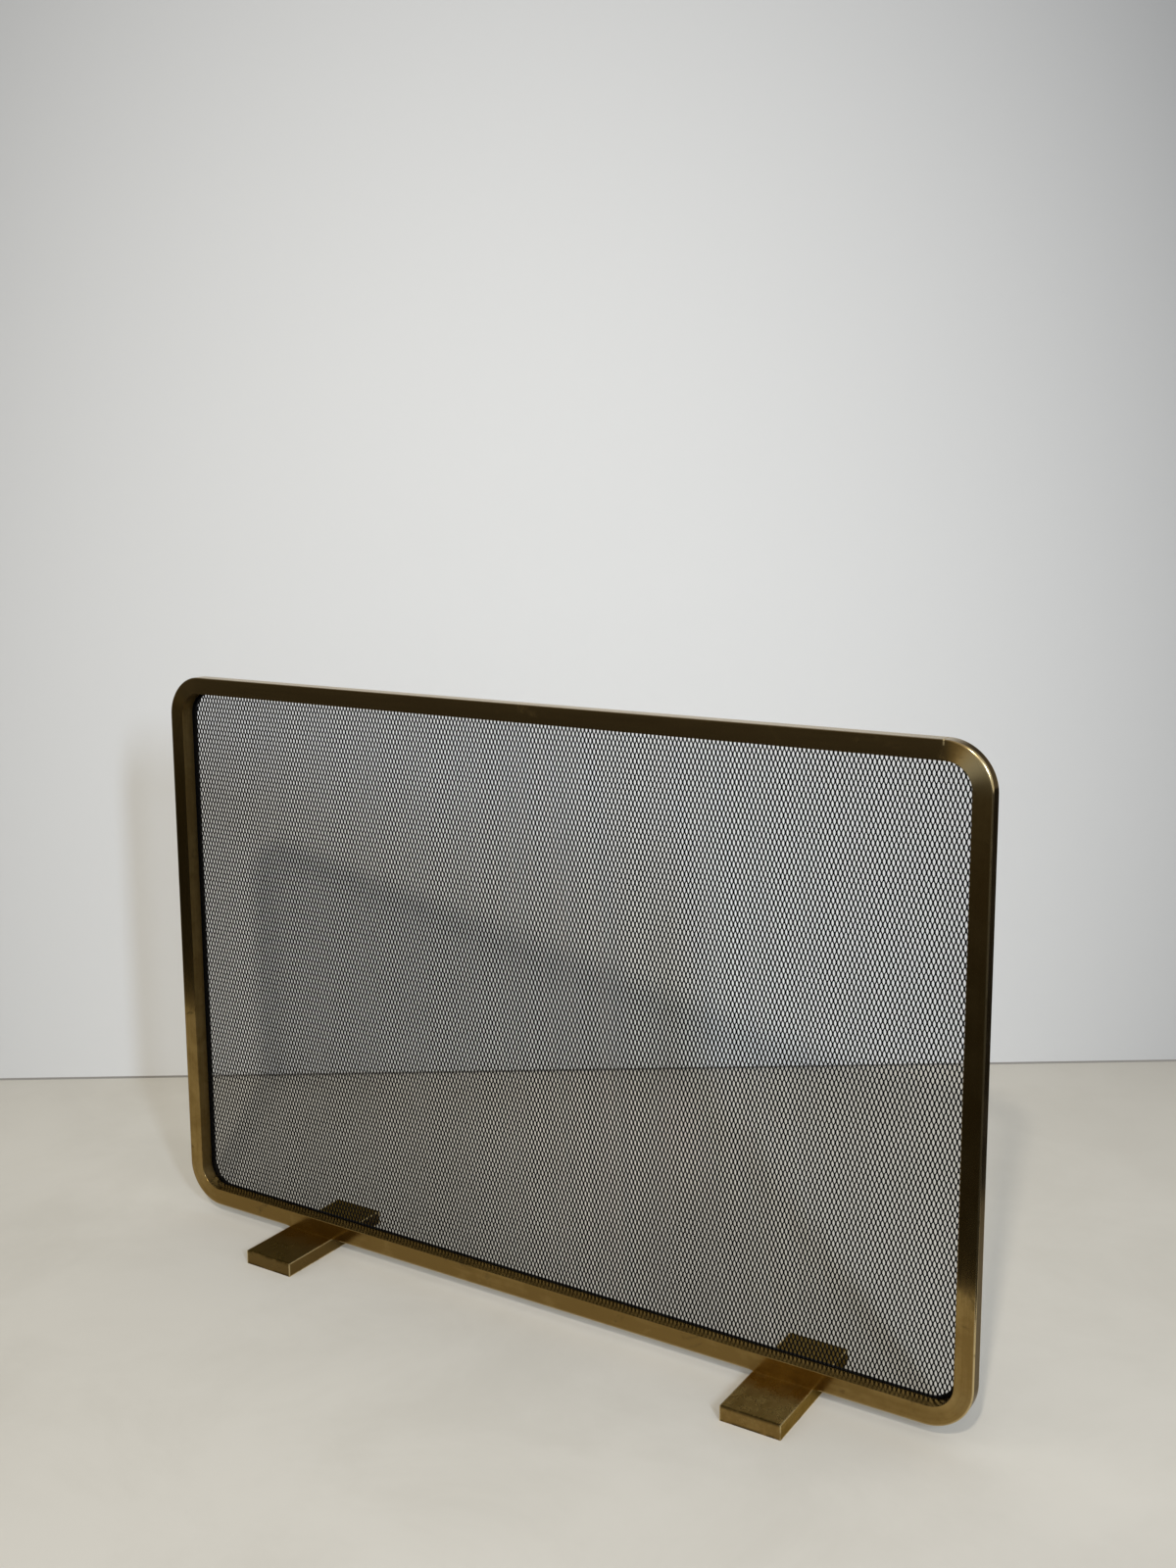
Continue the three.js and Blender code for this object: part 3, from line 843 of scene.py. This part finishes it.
def foot_brass_material():
    """Duller than the frame, with rubbed side edges that also paint bright edge highlights, dirt at the end
    edges and a painted shadow at the back.

    The brushing runs from front to back. The left foot is darker than the right one.
    """
    graph = Graph("foot_brass", Metallic=1.0, Specular_Tint=(0.68, 0.61, 0.43, 1))
    place = graph.place()
    turned = graph.node("ShaderNodeMapping", {"Vector": place, "Rotation": (0, 0, math.pi / 2)})
    across, along, up = box_gaps(graph, place, *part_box("foot_right"))
    cloud = graph.noise(place, 60, 3, 0.6)
    side_edges = graph.math("MAXIMUM", across, graph.math("MINIMUM", along, up))
    # The rubbed side edges are partly painted highlight: they make the bright lines along the feet's edges
    wear = graph.spread(side_edges, 0, FOOT_WEAR_REACH, 1, 0)
    wear = graph.math("MULTIPLY", wear, graph.spread(cloud, 0.3, 0.5))
    end_edges = graph.math("MAXIMUM", along, up)
    dirt = graph.spread(end_edges, 0, 2 * FOOT_WEAR_REACH, 1, 0)
    dirt = graph.math("MULTIPLY", dirt, graph.spread(cloud, 0.35, 0.5))
    parts = graph.node("ShaderNodeSeparateXYZ", {"Vector": place}).outputs
    # Painted shadow: the back of each foot is darkened where the screen's shadow falls
    back_painted_shadow = graph.spread(parts["Y"], 0.0, 0.02, 0.0, 0.8)
    tone = graph.spread(parts["X"], -0.2, 0.2, -1.1, -0.25)
    dull = graph.spread(graph.noise(place, 90, 3, 0.6), 0.3, 0.7, 0.2, 0.7)
    covers = [(dirt, BRASS_SOOT_AND_SHADE), (back_painted_shadow, BRASS_SOOT_AND_SHADE)]
    return patina(graph, place, turned.outputs["Vector"], wear, dull, tone, covers)


def plain_brass_material():
    graph = Graph("screw_brass", Metallic=1.0, Roughness=0.28)
    colour = graph.mix(graph.noise(graph.place(), 900, 2), BRASS_BRIGHT, BRASS_WORN_AND_HIGHLIGHT)
    return graph.finish(Base_Color=colour)


def black_paint_material(name, grain):
    """Satin black paint with a fine grain. Its colour stays a plain number, for the mesh's sake."""
    graph = Graph(name, Base_Color=(*BLACK_PAINT, 1), Specular_IOR_Level=0.08)
    place = graph.place()
    cloud = graph.noise(place, 60, 3, 0.6)
    fine = graph.noise(place, grain, 2, 0.5)
    rough = graph.spread(graph.weighted((fine, 0.3), base=cloud), 0.4, 0.9, 0.42, 0.62)
    normal = graph.bump(fine, 0.25, 0.08 * MM)
    return graph.finish(Roughness=rough, Normal=normal)


def blackened_steel_material():
    graph = Graph("screw_steel", Metallic=0.8)
    fine = graph.noise(graph.place(), 700, 2)
    colour = graph.mix(fine, STEEL_DARK, STEEL_LIGHT)
    return graph.finish(Base_Color=colour, Roughness=graph.spread(fine, 0.3, 0.7, 0.3, 0.45))


# ---- Stage, light and camera ----


def stage_card(name, corners, colour, glossy_only=False):
    """A flat, matt card. One that is glossy_only is seen in reflections and nowhere else."""
    mesh = bpy.data.meshes.new(name)
    mesh.from_pydata(corners, [], [range(len(corners))])
    graph = Graph(name, Base_Color=(*colour, 1), Roughness=1.0, Specular_IOR_Level=0.0)
    card = new_object(name, mesh, graph.material)
    if glossy_only:
        card.visible_camera = False
        card.visible_diffuse = False
        card.visible_shadow = False
        card.visible_transmission = False
    return graph


def faded(graph, middle, rate):
    """0 at the middle and 1 far from it, from a metre off where the rate is 1."""
    ends = {0: graph.scaled(graph.place(), rate), 1: Vector(a * b for a, b in zip(middle, rate))}
    away = graph.node("ShaderNodeVectorMath", ends, operation="DISTANCE").outputs["Value"]
    return graph.math("POWER", away, 2, clamp=True)


def clear_from_behind(graph):
    """Lets a card be seen from its front only."""
    behind = graph.node("ShaderNodeNewGeometry", {}).outputs["Backfacing"]
    clear = graph.node("ShaderNodeBsdfTransparent", {}).outputs["BSDF"]
    mixed = graph.node("ShaderNodeMixShader", {0: behind, 1: graph.shader.outputs["BSDF"], 2: clear})
    graph.tree.links.new(mixed.outputs["Shader"], graph.tree.nodes["Material Output"].inputs["Surface"])


def build_stage():
    """A pale floor and a pale wall, each with a painted fall-off of light away from its middle, a dark
    joint at the wall's foot, and a dark card for reflections.
    """
    corners = [(x * STAGE_REACH, y * STAGE_REACH, 0) for x, y in ((-1, -1), (1, -1), (1, 1), (-1, 1))]
    floor = stage_card("floor", corners, FLOOR_COLOUR)
    marks = floor.noise(floor.place(), 5, 6, 0.62, 0.4)
    marked = floor.mix(floor.spread(marks, 0.35, 0.7), FLOOR_COLOUR, FLOOR_MARK)
    # Painted fall-off of light on the floor
    fade = faded(floor, FLOOR_MIDDLE, FLOOR_FADE)
    floor.finish(Base_Color=floor.mix(fade, marked, FLOOR_PAINTED_SHADE))

    along = Vector((-WALL_NORMAL.y, WALL_NORMAL.x, 0))
    foot = -WALL_NORMAL * WALL_DISTANCE
    up = Vector((0, 0, STAGE_HEIGHT))
    left, right = foot - along * STAGE_REACH, foot + along * WALL_RIGHT
    wall = stage_card("wall", [left, right, right + up, left + up], WALL_COLOUR)
    # Painted fall-off of light on the wall
    fade = faded(wall, WALL_MIDDLE, WALL_FADE)
    wall.finish(Base_Color=wall.mix(fade, WALL_COLOUR, WALL_PAINTED_SHADE))
    left += WALL_NORMAL * JOINT_LIFT
    right += WALL_NORMAL * JOINT_LIFT
    up = Vector((0, 0, JOINT_HEIGHT))
    joint = stage_card("joint", [left, right, right + up, left + up], JOINT_COLOUR)
    clear_from_behind(wall)
    clear_from_behind(joint)

    corners = [(x, y, DARK_FLOOR_LIFT) for x, y in PALE_FLOOR_EDGE + DARK_FLOOR_CORNERS]
    dark = stage_card("dark_floor", corners, DARK_COLOUR, glossy_only=True)
    fade = faded(dark, DARK_MIDDLE, DARK_FADE)
    dark.finish(Base_Color=dark.mix(fade, DARK_COLOUR, DARK_FAR_COLOUR))


def add_light(name, towards, distance, size, power, colour):
    """A soft light of a width and height, aimed at the screen from the way that towards gives."""
    data = bpy.data.lights.new(name, "AREA")
    data.shape = "ELLIPSE"
    data.size, data.size_y = size
    data.energy = power
    data.color = colour
    light = bpy.data.objects.new(name, data)
    bpy.context.scene.collection.objects.link(light)
    towards = Vector(towards).normalized()
    light.location = (cad_box[0] + cad_box[1]) / 2 + towards * distance
    light.rotation_euler = towards.to_track_quat("Z", "Y").to_euler()


def build_light():
    world = bpy.data.worlds.new("studio")
    bpy.context.scene.world = world
    world.use_nodes = True
    background = world.node_tree.nodes["Background"]
    background.inputs["Color"].default_value = (1.0, 0.975, 0.92, 1)
    background.inputs["Strength"].default_value = 0.70
    add_light("key", (0.318, -0.690, 0.634), 2.66, (0.12, 0.12), 24.5, (1, 0.92, 0.80))
    add_light("window", (0.708, -0.577, 0.410), 2.6, (0.17, 0.6), 27, (0.68, 0.80, 1))


def build_camera():
    """At the photograph's place and angle, with a small shift for the framing."""
    data = bpy.data.cameras.new("camera")
    data.sensor_width = 36
    data.lens = 36.52
    data.shift_x = -0.0363
    data.shift_y = -0.0306
    camera = bpy.data.objects.new("camera", data)
    bpy.context.scene.collection.objects.link(camera)
    camera.location = (0.7179, -1.0182, 0.6764)
    camera.rotation_euler = (math.radians(81.276), 0, math.radians(30.734))
    bpy.context.scene.camera = camera


# ---- The whole scene ----

build_camera()
build_frame(frame_brass_material())
build_mesh(black_paint_material("mesh_paint", 1500))
strip_paint = black_paint_material("strip_paint", 900)
for side in ("top", "bottom", "left", "right"):
    softened(f"retainer_{side}", STRIP_EDGE_RADIUS, strip_paint)
foot_brass = foot_brass_material()
for side in ("left", "right"):
    softened(f"foot_{side}", FOOT_EDGE_RADIUS, foot_brass)
build_screws(blackened_steel_material(), plain_brass_material())
build_stage()
build_light()
bpy.context.scene.view_settings.view_transform = "Standard"
